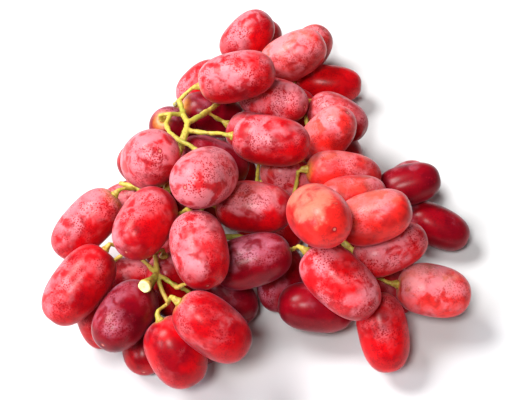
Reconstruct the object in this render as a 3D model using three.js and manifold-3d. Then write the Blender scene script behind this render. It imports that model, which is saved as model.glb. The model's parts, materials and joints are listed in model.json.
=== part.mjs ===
// A bunch of long red table grapes lying on its side.
// Each berry is a solid of its own, and the green stalk with all its branches is one more.
// Millimetres, +Z up. The origin is the middle of the bunch's footprint, on the surface that it lies on.
import * as THREE from "three";
import { mergeVertices } from "three/addons/utils/BufferGeometryUtils.js";
import Module from "manifold-3d";

const wasm = await Module();
wasm.setup();

// The sight line of the picture that the bunch was laid out from.
const MM_PER_PIXEL = 0.4; // a middling berry, 20 mm wide, covers 50 pixels
const PICTURE_CENTRE = [256, 200]; // pixels
const SIGHT_ELEVATION = THREE.MathUtils.degToRad(55);
const SIGHT_DISTANCE = 560;
const SIGHT_HEIGHT = 30; // height at which the middle sight line is aimed

// Berries
const BERRY_SIDES = 12;
const BERRY_RINGS = 8;
const BERRY_ROUNDNESS = 2.5; // 2 is an ellipse, and more is squarer
const BERRY_TAPER = 0.04; // the stem end is this share fuller than the middle, the tip this share slimmer
const BERRY_GAP = 0.5; // left between the surfaces of two berries
const FOOT_SINK = 0.6; // a berry on the surface is pressed flat by this depth

// Stalk
const STALK_SIDES = 6;
const PEDICEL_SIDES = 5;
const PEDICEL_STEPS = 5;
const PEDICEL_RADIUS = 0.75;
const RECEPTACLE_RADIUS = 1.7; // the disc that carries the berry
const RECEPTACLE_GAP = 0.3;
const STALK_GAP = 0.45; // left between the stalk and a berry that it only passes

// Colours
const SKINS = { ruby: 0xb3202e, coral: 0xcf4a4c, wine: 0x6f1730 };
const SKIN_ROUGHNESS = 0.4;
const STALK_COLOUR = 0xa3ad45;
const STALK_ROUGHNESS = 0.6;

// Each berry: picture place, height of its middle, heading of its blossom end in the picture
// (degrees, 0 to the right, 90 up), lean of that end towards the eye (degrees), length, width.
// A berry with no skin named is ruby.
const OUTER_BERRIES = [
  { at: [247, 38], height: 27, heading: 48, lean: 5, length: 27, width: 19 },
  { at: [258, 45], height: 10, heading: 60, lean: 5, length: 26, width: 18 },
  { at: [293, 56], height: 30, heading: 27, lean: 10, length: 30, width: 20, skin: "coral" },
  { at: [238, 79], height: 44, heading: 10, lean: 5, length: 32, width: 20.5 },
  { at: [308, 52], height: 12, heading: 71, lean: 45, length: 26, width: 18, skin: "coral" },
  { at: [275, 109], height: 31, heading: -2, lean: 5, length: 32, width: 19 },
  { at: [271, 144], height: 45, heading: -8, lean: 5, length: 31, width: 20 },
  { at: [327, 84], height: 14, heading: -1, lean: 0, length: 29, width: 17 },
  { at: [328, 130], height: 17, heading: -25, lean: 0, length: 27, width: 18 },
  { at: [326, 144], height: 35, heading: 56, lean: 8, length: 29, width: 19, skin: "coral" },
  { at: [335, 144], height: 10, heading: -68, lean: 0, length: 27, width: 19 },
  { at: [340, 172], height: 31, heading: -11, lean: 0, length: 31, width: 17.5, skin: "coral" },
  { at: [351, 195], height: 39, heading: 4, lean: 0, length: 27, width: 17, skin: "coral" },
  { at: [325, 217], height: 60, heading: -60, lean: 72, length: 30, width: 22, skin: "coral" },
  { at: [370, 222], height: 50, heading: 20, lean: 10, length: 28.5, width: 20, skin: "coral" },
  { at: [383, 248], height: 31, heading: 18, lean: 5, length: 30, width: 18.5 },
  { at: [409, 185], height: 26, heading: 15, lean: 5, length: 26, width: 17, skin: "wine" },
  { at: [437, 226], height: 12, heading: -25, lean: 0, length: 28, width: 17, skin: "wine" },
  { at: [254, 207], height: 42, heading: -6, lean: 8, length: 30.5, width: 20.5 },
  { at: [283, 190], height: 28, heading: -33, lean: 5, length: 29, width: 18.5 },
  { at: [252, 261], height: 36, heading: 15, lean: 5, length: 31, width: 20.5, skin: "wine" },
  { at: [286, 280], height: 18, heading: -115, lean: 0, length: 27, width: 19, skin: "wine" },
  { at: [197, 253], height: 50, heading: -79, lean: 20, length: 31, width: 21.5 },
  { at: [147, 224], height: 50, heading: -118, lean: 35, length: 31, width: 21.5 },
  { at: [88, 224], height: 26, heading: -135, lean: 0, length: 33, width: 19.5 },
  { at: [90, 294], height: 29, heading: -150, lean: 5, length: 34, width: 21 },
  { at: [138, 303], height: 23, heading: -139, lean: 10, length: 31, width: 20.5, skin: "wine" },
  { at: [182, 343], height: 23, heading: -70, lean: 0, length: 28, width: 21.5 },
  { at: [208, 325], height: 31, heading: -36, lean: 5, length: 31.5, width: 21 },
  { at: [140, 331], height: 10, heading: -81, lean: 20, length: 25, width: 18 },
  { at: [193, 328], height: 11, heading: -61, lean: 0, length: 27, width: 18, skin: "wine" },
  { at: [341, 282], height: 40, heading: -42, lean: 5, length: 34, width: 21.5 },
  { at: [432, 291], height: 20, heading: -10, lean: 0, length: 29, width: 20.5, skin: "coral" },
  { at: [382, 331], height: 20, heading: -78, lean: 0, length: 31, width: 19.5 },
  { at: [315, 303], height: 14, heading: 175, lean: 0, length: 30, width: 20, skin: "wine" },
  { at: [204, 89], height: 26, heading: 50, lean: 10, length: 26, width: 19 },
  { at: [212, 102], height: 26, heading: 10, lean: 0, length: 28, width: 19, skin: "wine" },
  { at: [177, 135], height: 27, heading: -25, lean: -75, length: 26, width: 18, skin: "wine" },
  { at: [153, 161], height: 52, heading: 45, lean: 72, length: 31, width: 22.5 },
  { at: [147, 168], height: 26, heading: 157, lean: 20, length: 26, width: 18 },
  { at: [204, 179], height: 60, heading: -150, lean: 60, length: 31, width: 22.5 },
  { at: [213, 165], height: 30, heading: -20, lean: 0, length: 30, width: 18.5, skin: "wine" },
  { at: [129, 197], height: 24, heading: 207, lean: 0, length: 26, width: 18 },
  { at: [186, 220], height: 28, heading: -60, lean: 0, length: 27, width: 19, skin: "wine" },
  { at: [388, 286], height: 12, heading: -20, lean: 0, length: 26, width: 18 },
];

// The berries below and behind those, of which little or nothing is seen.
const INNER_BERRIES = [
  { at: [145, 271], height: 13, heading: 200, lean: 0, length: 26, width: 18 },
  { at: [119, 301], height: 9, heading: -75, lean: 0, length: 25, width: 17 },
  { at: [250, 157], height: 24, heading: -20, lean: 0, length: 27, width: 18.5 },
  { at: [347, 176], height: 9, heading: 0, lean: 0, length: 27, width: 18 },
  { at: [302, 262], height: 22, heading: 80, lean: 0, length: 26, width: 19 },
  { at: [398, 187], height: 10, heading: 40, lean: 0, length: 26, width: 18 },
  { at: [168, 262], height: 16, heading: -60, lean: 0, length: 27, width: 18 },
  { at: [182, 292], height: 16, heading: -70, lean: 0, length: 27, width: 18 },
  { at: [247, 288], height: 12, heading: -40, lean: 0, length: 28, width: 19, skin: "wine" },
  { at: [270, 228], height: 9, heading: -20, lean: 0, length: 28, width: 19 },
  { at: [232, 172], height: 9, heading: 60, lean: 0, length: 28, width: 19 },
  { at: [300, 110], height: 10, heading: 60, lean: 0, length: 28, width: 19 },
  { at: [345, 228], height: 10, heading: -20, lean: 0, length: 28, width: 19 },
];

// The stem and its side branches as knots: picture place, height, radius.
// Each side branch starts at a knot of the stem or of the branch before it.
const BRANCHES = [
  [
    { at: [145, 286], height: 40, radius: 2.4 },
    { at: [148, 283], height: 38, radius: 2 },
    { at: [153, 279], height: 34, radius: 1.1 },
    { at: [157, 274], height: 32, radius: 1.2 },
    { at: [156, 260], height: 31, radius: 0.9 },
    { at: [154, 247], height: 31, radius: 0.9 },
    { at: [162, 222], height: 34, radius: 1.3 },
    { at: [166, 192], height: 38, radius: 1.7 },
    { at: [175, 162], height: 40, radius: 1.7 },
    { at: [183, 140], height: 42, radius: 1.5 },
    { at: [188, 123], height: 42, radius: 1.3 },
  ],
  [
    { at: [188, 123], height: 42, radius: 1.2 },
    { at: [183, 114], height: 41, radius: 1.1 },
    { at: [181, 105], height: 40, radius: 1 },
    { at: [179, 100], height: 40, radius: 1.1 },
  ],
  [
    { at: [183, 114], height: 41, radius: 1 },
    { at: [174, 112], height: 43, radius: 0.9 },
    { at: [168, 117], height: 44, radius: 0.9 },
    { at: [166, 127], height: 45, radius: 0.9 },
    { at: [174, 137], height: 47, radius: 1 },
    { at: [187, 144], height: 49, radius: 0.9 },
    { at: [200, 152], height: 50, radius: 0.9 },
  ],
  [
    { at: [188, 123], height: 42, radius: 1.1 },
    { at: [200, 116], height: 40, radius: 1.2 },
    { at: [211, 109], height: 35, radius: 1.1 },
    { at: [232, 92], height: 26, radius: 1 },
    { at: [262, 74], height: 20, radius: 0.9 },
  ],
  [
    { at: [186, 130], height: 42, radius: 1.2 },
    { at: [197, 132], height: 42, radius: 0.9 },
    { at: [213, 133], height: 43, radius: 0.8 },
    { at: [224, 134], height: 46, radius: 0.8 },
  ],
  [
    { at: [175, 162], height: 40, radius: 1.4 },
    { at: [205, 182], height: 30, radius: 1.3 },
    { at: [250, 197], height: 25, radius: 1.3 },
    { at: [300, 210], height: 25, radius: 1.2 },
    { at: [335, 236], height: 28, radius: 1.2 },
    { at: [365, 262], height: 26, radius: 1.1 },
    { at: [374, 275], height: 24, radius: 1 },
  ],
  [
    { at: [250, 197], height: 25, radius: 1.1 },
    { at: [276, 168], height: 21, radius: 1 },
    { at: [310, 152], height: 18, radius: 0.9 },
  ],
  [
    { at: [162, 222], height: 34, radius: 1.3 },
    { at: [205, 236], height: 26, radius: 1.2 },
    { at: [245, 238], height: 26, radius: 1.1 },
    { at: [286, 252], height: 26, radius: 1 },
  ],
  [
    { at: [166, 192], height: 38, radius: 1.2 },
    { at: [143, 191], height: 34, radius: 1 },
    { at: [127, 184], height: 32, radius: 0.9 },
    { at: [119, 183], height: 32, radius: 0.9 },
  ],
  [
    { at: [157, 274], height: 32, radius: 1 },
    { at: [148, 265], height: 31, radius: 0.8 },
    { at: [139, 256], height: 31, radius: 0.8 },
    { at: [128, 251], height: 31, radius: 0.8 },
  ],
  [
    { at: [157, 274], height: 32, radius: 1 },
    { at: [161, 288], height: 32, radius: 0.8 },
    { at: [168, 303], height: 31, radius: 0.9 },
  ],
  [
    { at: [157, 274], height: 32, radius: 1 },
    { at: [166, 279], height: 33, radius: 0.85 },
    { at: [177, 288], height: 33, radius: 0.85 },
  ],
];

const RIGHT = new THREE.Vector3(1, 0, 0);
const TO_EYE = new THREE.Vector3(0, -Math.cos(SIGHT_ELEVATION), Math.sin(SIGHT_ELEVATION));
const UP_PICTURE = new THREE.Vector3(0, Math.sin(SIGHT_ELEVATION), Math.cos(SIGHT_ELEVATION));

// The point at a given height on the sight line through a picture place.
function pointSeenAt([x, y], height) {
  const across = (x - PICTURE_CENTRE[0]) * MM_PER_PIXEL;
  const up = (PICTURE_CENTRE[1] - y) * MM_PER_PIXEL;
  const perDistance = 1 / (SIGHT_DISTANCE * Math.sin(SIGHT_ELEVATION));
  const nearness =
    (1 - (height - SIGHT_HEIGHT) * perDistance) / (1 - up * Math.cos(SIGHT_ELEVATION) * perDistance);
  const towardsEye = (1 - nearness) * SIGHT_DISTANCE;
  return new THREE.Vector3(0, 0, SIGHT_HEIGHT)
    .addScaledVector(RIGHT, across * nearness)
    .addScaledVector(UP_PICTURE, up * nearness)
    .addScaledVector(TO_EYE, towardsEye);
}

// The direction that a berry points, from its stem end to its blossom end.
function directionSeen(heading, lean) {
  const h = THREE.MathUtils.degToRad(heading);
  const l = THREE.MathUtils.degToRad(lean);
  return new THREE.Vector3()
    .addScaledVector(RIGHT, Math.cos(h) * Math.cos(l))
    .addScaledVector(UP_PICTURE, Math.sin(h) * Math.cos(l))
    .addScaledVector(TO_EYE, Math.sin(l));
}

// A berry's radius at share t of its half length, from -1 at the stem end to 1 at the blossom end.
function radiusAt(berry, t) {
  const round = (1 - Math.abs(t) ** BERRY_ROUNDNESS) ** (1 / BERRY_ROUNDNESS);
  return (berry.width / 2) * round * (1 - BERRY_TAPER * t);
}

// Spheres along a berry's axis that stand for it where berries and stalk are kept apart.
const SPHERES_PER_BERRY = 7;
const SPHERES_INSET = 0.26; // of the berry's width, from its end to the row of middles
const SHOULDER_EXTRA = 0.5; // covers the blunt shoulders
function fillWithSpheres(berry) {
  const half = berry.length / 2;
  const spheres = [];
  for (let i = 0; i < SPHERES_PER_BERRY; i++) {
    const t = -1 + (2 * (i + 0.5)) / SPHERES_PER_BERRY;
    const along = t * (half - berry.width * SPHERES_INSET);
    let radius = Infinity;
    for (let s = -1; s <= 1.0001; s += 0.02) {
      const share = Math.min(Math.max(s, -1), 1);
      radius = Math.min(radius, Math.hypot(share * half - along, radiusAt(berry, share)));
    }
    spheres.push({ along, radius: radius + SHOULDER_EXTRA * Math.abs(t) });
  }
  // The start of the pedicel also wants room.
  spheres.push({ along: -half - 1.5, radius: 1.7 });
  spheres.push({ along: -half - 4, radius: 1.2 });
  return spheres;
}

function makeBerry(row, inner) {
  const berry = {
    ...row,
    inner,
    middle: pointSeenAt(row.at, row.height),
    axis: directionSeen(row.heading, row.lean),
  };
  berry.home = berry.middle.clone();
  berry.homeAxis = berry.axis.clone();
  berry.spheres = fillWithSpheres(berry);
  berry.centres = berry.spheres.map(() => new THREE.Vector3());
  return berry;
}

const berries = [
  ...OUTER_BERRIES.map((row) => makeBerry(row, false)),
  ...INNER_BERRIES.map((row) => makeBerry(row, true)),
];
berries.forEach((berry, i) => {
  berry.name = `grape_${String(i + 1).padStart(2, "0")}`;
});

const branches = BRANCHES.map((knots) => {
  const curve = new THREE.CatmullRomCurve3(knots.map((k) => pointSeenAt(k.at, k.height)));
  const steps = Math.max(3, Math.ceil(curve.getLength() / 7));
  const samples = [];
  for (let i = 0; i <= steps * 2; i++) {
    const u = i / (steps * 2);
    const t = curve.getUtoTmapping(u) * (knots.length - 1);
    const k = Math.min(Math.floor(t), knots.length - 2);
    const radius = THREE.MathUtils.lerp(knots[k].radius, knots[k + 1].radius, t - k);
    samples.push({ point: curve.getPointAt(u), radius });
  }
  return { curve, steps, samples };
});
const stalkSamples = branches.flatMap((branch) => branch.samples);

// Pushes berries apart until none crosses another, the stem or the surface. A berry that is seen
// moves freely along its sight line and only a little across it.
const SETTLE_ROUNDS = 1300;
const ACROSS_SHARE = 0.2;
const HOMING = 0.012;
const TURN_SHARE = 0.5;
const PUSH_SHARE = 0.15;
const SWELL_FROM = 0.6; // the berries start at this share of their size and swell as they settle
const INNER_RISE = 6; // an inner berry stays under the others: it rises no more than this

function placeSpheres(berry) {
  berry.spheres.forEach((s, k) => berry.centres[k].copy(berry.middle).addScaledVector(berry.axis, s.along));
}

function nudge(berry, along, move) {
  if (berry.inner) {
    berry.middle.add(move);
  } else {
    const deep = move.dot(TO_EYE);
    berry.middle.addScaledVector(move, ACROSS_SHARE);
    berry.middle.addScaledVector(TO_EYE, deep * (1 - ACROSS_SHARE));
  }
  berry.axis.addScaledVector(move, (TURN_SHARE * along) / (berry.length ** 2 / 8)).normalize();
}

function settle() {
  const away = new THREE.Vector3();
  for (let round = 0; round < SETTLE_ROUNDS; round++) {
    const homing = round < SETTLE_ROUNDS / 2 ? HOMING : 0;
    const swell = Math.min(1, SWELL_FROM + (1 - SWELL_FROM) * (round / (SETTLE_ROUNDS * 0.4)));
    for (const berry of berries) {
      berry.middle.lerp(berry.home, homing);
      if (berry.inner) berry.middle.z = Math.min(berry.middle.z, berry.home.z + INNER_RISE);
      berry.axis.lerp(berry.homeAxis, homing).normalize();
      placeSpheres(berry);
    }
    for (let i = 0; i < berries.length; i++) {
      const one = berries[i];
      for (let j = i + 1; j < berries.length; j++) {
        const other = berries[j];
        const reach = (one.length + other.length) / 2 + 8;
        if (one.middle.distanceTo(other.middle) > reach) continue;
        one.spheres.forEach((s, k) =>
          other.spheres.forEach((o, m) => {
            away.copy(one.centres[k]).sub(other.centres[m]);
            const overlap = (s.radius + o.radius) * swell + BERRY_GAP - away.length();
            if (overlap <= 0) return;
            away.setLength(overlap * PUSH_SHARE);
            nudge(one, s.along, away);
            nudge(other, o.along, away.negate());
          }),
        );
      }
      one.spheres.forEach((s, k) => {
        for (const sample of stalkSamples) {
          away.copy(one.centres[k]).sub(sample.point);
          const overlap = s.radius * swell + sample.radius + STALK_GAP + 0.3 - away.length();
          if (overlap <= 0 || k >= SPHERES_PER_BERRY) continue;
          away.setLength(overlap * PUSH_SHARE);
          nudge(one, s.along, away);
        }
        const under = s.radius - FOOT_SINK - one.centres[k].z;
        if (under <= 0) return;
        one.middle.addScaledVector(TO_EYE, (under * 0.3) / TO_EYE.z);
        one.axis.z += (0.3 * under * s.along) / (one.length ** 2 / 8);
        one.axis.normalize();
      });
    }
  }
  berries.forEach(placeSpheres);
}
settle();

// How far a point with a radius is inside the nearest berry; the push is the way out.
function depthInBerries(point, radius, own, push) {
  let deepest = -Infinity;
  const away = new THREE.Vector3();
  for (const berry of berries) {
    if (berry.middle.distanceTo(point) > berry.length / 2 + radius + 2) continue;
    for (let k = 0; k < SPHERES_PER_BERRY; k++) {
      away.copy(point).sub(berry.centres[k]);
      const margin = berry === own ? 0.2 : STALK_GAP + 0.2;
      const overlap = berry.spheres[k].radius + radius + margin - away.length();
      if (overlap <= deepest) continue;
      deepest = overlap;
      if (push && overlap > 0) push.copy(away).setLength(overlap);
    }
  }
  return deepest;
}

// A pedicel's way from the berry's stem end to a point on the stem, bent round the other berries.
const ROUTE_POINTS = 9;
const ROUTE_ROUNDS = 60;
function route(berry, start, goal) {
  const lead = start.clone().addScaledVector(berry.axis, -3);
  const points = [];
  for (let i = 0; i < ROUTE_POINTS; i++) {
    points.push(lead.clone().lerp(goal.point, i / (ROUTE_POINTS - 1)));
  }
  const push = new THREE.Vector3();
  const mid = new THREE.Vector3();
  let deepest = 0;
  for (let round = 0; round < ROUTE_ROUNDS; round++) {
    deepest = 0;
    for (let i = 1; i < ROUTE_POINTS - 1; i++) {
      mid.copy(points[i - 1]).add(points[i + 1]).multiplyScalar(0.5);
      points[i].lerp(mid, 0.3);
      const depth = depthInBerries(points[i], PEDICEL_RADIUS, berry, push);
      if (depth > 0) {
        points[i].addScaledVector(push, 0.8);
        deepest = Math.max(deepest, depth);
      }
      points[i].z = Math.max(points[i].z, PEDICEL_RADIUS + 1);
    }
  }
  let length = 0;
  for (let i = 1; i < ROUTE_POINTS; i++) {
    length += points[i].distanceTo(points[i - 1]);
  }
  return { points, deepest, length, goal };
}

function bestRoute(berry) {
  const start = berry.middle.clone().addScaledVector(berry.axis, -berry.length / 2 - RECEPTACLE_GAP);
  let best = null;
  for (const goal of stalkSamples.slice(3)) {
    const reach = goal.point.distanceTo(start);
    if (reach > 60 || (best && reach > best.cost)) continue;
    const way = route(berry, start, goal);
    way.cost = way.length + 30 * Math.max(0, way.deepest - 0.1);
    if (!best || way.cost < best.cost) best = way;
  }
  berry.route = best;
  return [start, ...best.points];
}

// A three.js geometry as a solid.
function solidOf(geometry) {
  const bare = geometry.clone();
  bare.deleteAttribute("normal");
  bare.deleteAttribute("uv");
  const merged = mergeVertices(bare, 1e-4);
  return new wasm.Manifold(
    new wasm.Mesh({
      numProp: 3,
      vertProperties: merged.attributes.position.array,
      triVerts: new Uint32Array(merged.index.array),
    }),
  );
}

function geometryOf(solid) {
  const mesh = solid.getMesh();
  return new THREE.BufferGeometry()
    .setAttribute("position", new THREE.BufferAttribute(mesh.vertProperties, 3))
    .setIndex(new THREE.BufferAttribute(mesh.triVerts, 1));
}

// A tapering round bar along a curve: a cylinder whose rings are moved onto the curve.
function barAlong(curve, steps, sides, radiusOf) {
  const geometry = new THREE.CylinderGeometry(1, 1, 1, sides, steps);
  const frames = curve.computeFrenetFrames(steps, false);
  const position = geometry.attributes.position;
  const place = new THREE.Vector3();
  for (let i = 0; i < position.count; i++) {
    const u = THREE.MathUtils.clamp(position.getY(i) + 0.5, 0, 1);
    const ring = Math.round(u * steps);
    const radius = radiusOf(u);
    curve.getPointAt(u, place);
    place.addScaledVector(frames.normals[ring], position.getZ(i) * radius);
    place.addScaledVector(frames.binormals[ring], position.getX(i) * radius);
    position.setXYZ(i, place.x, place.y, place.z);
  }
  return geometry;
}

function berryGeometry(berry, extra = 0) {
  const profile = [];
  for (let i = 0; i <= BERRY_RINGS; i++) {
    const t = -Math.cos((Math.PI * i) / BERRY_RINGS);
    const onAxis = i === 0 || i === BERRY_RINGS;
    const radius = onAxis ? 0 : radiusAt(berry, t) + extra;
    profile.push(new THREE.Vector2(radius, t * (berry.length / 2 + extra)));
  }
  const turn = new THREE.Quaternion().setFromUnitVectors(new THREE.Vector3(0, 1, 0), berry.axis);
  return new THREE.LatheGeometry(profile, BERRY_SIDES)
    .applyQuaternion(turn)
    .translate(berry.middle.x, berry.middle.y, berry.middle.z);
}

// Everything above the surface that the bunch lies on.
const aboveSurface = solidOf(new THREE.BoxGeometry(600, 600, 300).translate(0, 0, 150));

function stalkSolid() {
  let stalk = null;
  const join = (geometry) => {
    const solid = solidOf(geometry);
    stalk = stalk ? stalk.add(solid) : solid;
  };
  for (const branch of branches) {
    const radiusOf = (u) => branch.samples[Math.round(u * branch.steps * 2)].radius;
    join(barAlong(branch.curve, branch.steps, STALK_SIDES, radiusOf));
  }
  for (const berry of berries) {
    const curve = new THREE.CatmullRomCurve3(bestRoute(berry));
    const flare = 2.2 / curve.getLength();
    const radiusOf = (u) => (u === 0 ? RECEPTACLE_RADIUS : PEDICEL_RADIUS + 0.3 * Math.max(0, flare - u));
    join(barAlong(curve, PEDICEL_STEPS, PEDICEL_SIDES, radiusOf));
  }
  for (const berry of berries) {
    stalk = stalk.subtract(solidOf(berryGeometry(berry, 0.3)));
  }
  return stalk.intersect(aboveSurface);
}

function namedMesh(name, geometry, color, roughness) {
  const mesh = new THREE.Mesh(geometry, new THREE.MeshStandardMaterial({ color, roughness, metalness: 0 }));
  mesh.name = name;
  return mesh;
}

const bunch = new THREE.Group();
for (const berry of berries) {
  const solid = solidOf(berryGeometry(berry)).intersect(aboveSurface);
  bunch.add(namedMesh(berry.name, geometryOf(solid), SKINS[berry.skin ?? "ruby"], SKIN_ROUGHNESS));
}
bunch.add(namedMesh("stalk", geometryOf(stalkSolid()), STALK_COLOUR, STALK_ROUGHNESS));
const middle = new THREE.Box3().setFromObject(bunch).getCenter(new THREE.Vector3());
bunch.position.set(-middle.x, -middle.y, 0);

export default bunch;
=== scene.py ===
"""A bunch of long red table grapes with bloom on their skins, on their green stalk."""

import json
import math

import bpy
import numpy as np
from mathutils import Matrix, Vector


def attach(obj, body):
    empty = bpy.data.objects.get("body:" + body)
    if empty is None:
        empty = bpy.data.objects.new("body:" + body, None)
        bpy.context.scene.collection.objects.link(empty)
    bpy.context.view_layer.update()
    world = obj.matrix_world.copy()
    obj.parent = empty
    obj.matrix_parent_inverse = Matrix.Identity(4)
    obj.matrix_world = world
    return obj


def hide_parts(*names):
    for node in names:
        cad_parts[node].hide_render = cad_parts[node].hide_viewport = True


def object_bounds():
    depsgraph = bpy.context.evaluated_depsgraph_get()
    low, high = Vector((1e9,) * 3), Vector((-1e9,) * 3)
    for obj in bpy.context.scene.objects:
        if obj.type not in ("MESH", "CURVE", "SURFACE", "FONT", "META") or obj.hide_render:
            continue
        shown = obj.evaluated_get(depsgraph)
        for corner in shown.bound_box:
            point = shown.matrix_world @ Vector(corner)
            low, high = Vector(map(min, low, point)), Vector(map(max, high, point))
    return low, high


bl_info = {
    "name": "Bunch of red grapes",
    "version": (1, 0, 0),
    "blender": (4, 5, 0),
    "location": "3D View > Sidebar > Grapes",
    "description": "Grows ripe skins and a fresh stalk over the solids of a bunch of grapes",
    "category": "Add Mesh",
}

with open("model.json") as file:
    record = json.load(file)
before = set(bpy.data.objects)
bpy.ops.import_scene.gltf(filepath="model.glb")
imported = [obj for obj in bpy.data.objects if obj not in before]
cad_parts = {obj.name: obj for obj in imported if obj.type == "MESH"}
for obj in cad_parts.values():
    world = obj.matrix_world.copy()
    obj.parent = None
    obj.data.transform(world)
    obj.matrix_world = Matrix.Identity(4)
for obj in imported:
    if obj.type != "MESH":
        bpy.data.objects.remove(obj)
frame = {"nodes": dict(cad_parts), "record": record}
CAD_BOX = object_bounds()

BERRIES = sorted(name for name in frame["nodes"] if name.startswith("grape_"))
STALK = "stalk"
SLOTS = {row["node"]: row["material_slot"] for row in frame["record"]["subparts"]}

MM = 1000.0  # millimetres in a metre

# The view of the picture: where it is aimed, how steeply and from how far.
AIM = Vector((-0.003047, -0.016027, 0.030))
SIGHT_ELEVATION = math.radians(55)
SIGHT_DISTANCE = 0.56
SENSOR = 36.0  # mm
LENS = 98.4  # mm, so that 512 pixels span 205 mm at the aim
NEAREST_SEEN = 0.01  # the camera shows nothing closer than this

# The floor lies this far under the bunch, so that the two surfaces don't mix.
FLOOR_DROP = 0.0001
FLOOR_ROUGHNESS = 0.9

# Each lamp: the setting that holds its power, its width, its place and its colour.
WHITE = (1.0, 1.0, 1.0)
COOL_WHITE = (0.86, 0.88, 1.0)
LAMPS = {
    "key_light": ("key", 0.90, (-1.05, 0.30, 1.70), WHITE),
    "front_light": ("front", 0.36, (-0.30, -0.80, 1.50), WHITE),
    "side_light": ("side", 0.50, (-1.10, -0.70, 1.00), COOL_WHITE),
}

# The end of the stem where the bunch was cut off, and the way that its face looks.
CUT_END = Vector((-0.0447, -0.0624, 0.0400))
CUT_FACING = Vector((-0.25, -0.80, 0.55)).normalized()

# The bloom and the blush are painted thicker and paler on the side of a berry that looks this way,
# towards the key lamp; this is painted light over the real bloom and blush.
LIT_SIDE = Vector((-0.45, 0.20, 0.85)).normalized()

# How each berry ripened: bloom on the skin, depth of the red, yellow left at the stem end,
# and pale blush.
RIPENESS_LABELS = ("bloom", "depth", "unripe", "pale")
RIPENESS = {
    "grape_01": (0.55, 0.08, 0.5, 0.00),
    "grape_02": (0.80, 0.60, 0.0, 0.00),
    "grape_03": (0.65, 0.00, 0.3, 0.30),
    "grape_04": (0.90, 0.10, 0.7, 0.00),
    "grape_05": (0.55, 0.15, 0.0, 0.10),
    "grape_06": (0.80, 0.05, 0.1, 0.00),
    "grape_07": (0.62, 0.12, 0.4, 0.00),
    "grape_08": (0.12, 0.00, 0.0, 0.00),
    "grape_09": (0.52, 0.25, 0.0, 0.05),
    "grape_10": (0.72, 0.00, 0.5, 0.20),
    "grape_11": (0.40, 0.35, 0.0, 0.00),
    "grape_12": (0.42, 0.05, 0.5, 0.20),
    "grape_13": (0.42, 0.22, 0.0, 0.10),
    "grape_14": (0.00, 0.05, 0.6, 0.44),
    "grape_15": (0.32, 0.02, 0.2, 0.22),
    "grape_16": (0.90, 0.00, 0.3, 0.00),
    "grape_17": (0.05, 0.65, 0.0, 0.00),
    "grape_18": (0.15, 0.20, 0.0, 0.00),
    "grape_19": (0.38, 0.20, 0.7, 0.10),
    "grape_20": (1.10, 0.00, 0.4, 0.12),
    "grape_21": (0.35, 0.50, 0.0, 0.00),
    "grape_22": (0.60, 0.05, 0.0, 0.00),
    "grape_23": (0.60, 0.15, 0.0, 0.00),
    "grape_24": (0.62, 0.12, 0.1, 0.00),
    "grape_25": (0.74, 0.12, 0.7, 0.00),
    "grape_26": (0.48, 0.15, 0.1, 0.00),
    "grape_27": (0.38, 0.68, 0.0, 0.00),
    "grape_28": (0.18, 0.38, 0.4, 0.00),
    "grape_29": (0.42, 0.42, 0.5, 0.00),
    "grape_30": (0.00, 0.72, 0.0, 0.00),
    "grape_31": (0.10, 1.00, 0.0, 0.00),
    "grape_32": (0.65, 0.00, 0.3, 0.00),
    "grape_33": (0.80, 0.00, 0.5, 0.40),
    "grape_34": (0.30, 0.00, 0.0, 0.00),
    "grape_35": (0.00, 0.30, 0.0, 0.00),
    "grape_36": (0.70, 0.20, 1.0, 0.00),
    "grape_37": (0.05, 0.55, 0.8, 0.00),
    "grape_38": (0.20, 0.50, 0.5, 0.00),
    "grape_39": (1.10, 0.05, 0.0, 0.00),
    "grape_40": (0.30, 0.30, 0.3, 0.00),
    "grape_41": (1.50, 0.05, 0.0, 0.00),
    "grape_42": (0.60, 0.70, 0.0, 0.00),
    "grape_43": (0.50, 0.20, 0.4, 0.00),
    "grape_44": (0.25, 0.80, 0.0, 0.00),
    "grape_45": (0.40, 0.40, 0.3, 0.00),
    # grape_54 sits in the deep shade under the bunch; its dark skin is partly painted shade.
    "grape_54": (0.20, 0.70, 0.0, 0.00),
}
RIPENESS_INSIDE = (0.40, 0.40, 0.2, 0.0)  # a berry that the others cover


# Settings


def colour(name, description, default):
    return bpy.props.FloatVectorProperty(
        name=name,
        description=description,
        default=default,
        size=3,
        subtype="COLOR",
        min=0,
        max=1,
    )


def length(name, description, default):
    return bpy.props.FloatProperty(
        name=name,
        description=description,
        default=default,
        min=0,
        precision=5,
        subtype="DISTANCE",
        unit="LENGTH",
    )


def power(name, description, default):
    return bpy.props.FloatProperty(
        name=name,
        description=description,
        default=default,
        min=0,
        subtype="POWER",
        unit="POWER",
    )


class BerrySettings(bpy.types.PropertyGroup):
    """Sizes of the berries."""

    sides: bpy.props.IntProperty(
        name="Sides", description="Faces round a berry", default=48, min=12
    )
    rings: bpy.props.IntProperty(
        name="Rings", description="Faces from end to end", default=40, min=12
    )
    roundness: bpy.props.FloatProperty(
        name="Roundness",
        description="2 is an ellipse, and more is blunter",
        default=2.5,
        min=2,
        max=4,
    )
    taper: bpy.props.FloatProperty(
        name="Taper",
        description="How much slimmer the tip is than the stem end",
        default=0.04,
        subtype="FACTOR",
    )
    dimple: length("Dimple depth", "Depth of the hollow round the stem", 0.0006)
    dimple_width: length("Dimple radius", "Radius of the hollow round the stem", 0.0024)
    scar: length("Scar depth", "Depth of the blossom scar's hollow", 0.00025)
    scar_width: length("Scar radius", "Radius of the blossom scar's hollow", 0.0012)
    lump: length("Lumps", "How far the skin swells and sinks from a true round", 0.00016)
    bend: length("Bend", "How far the middle of a berry stands off a straight line", 0.00035)


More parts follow.
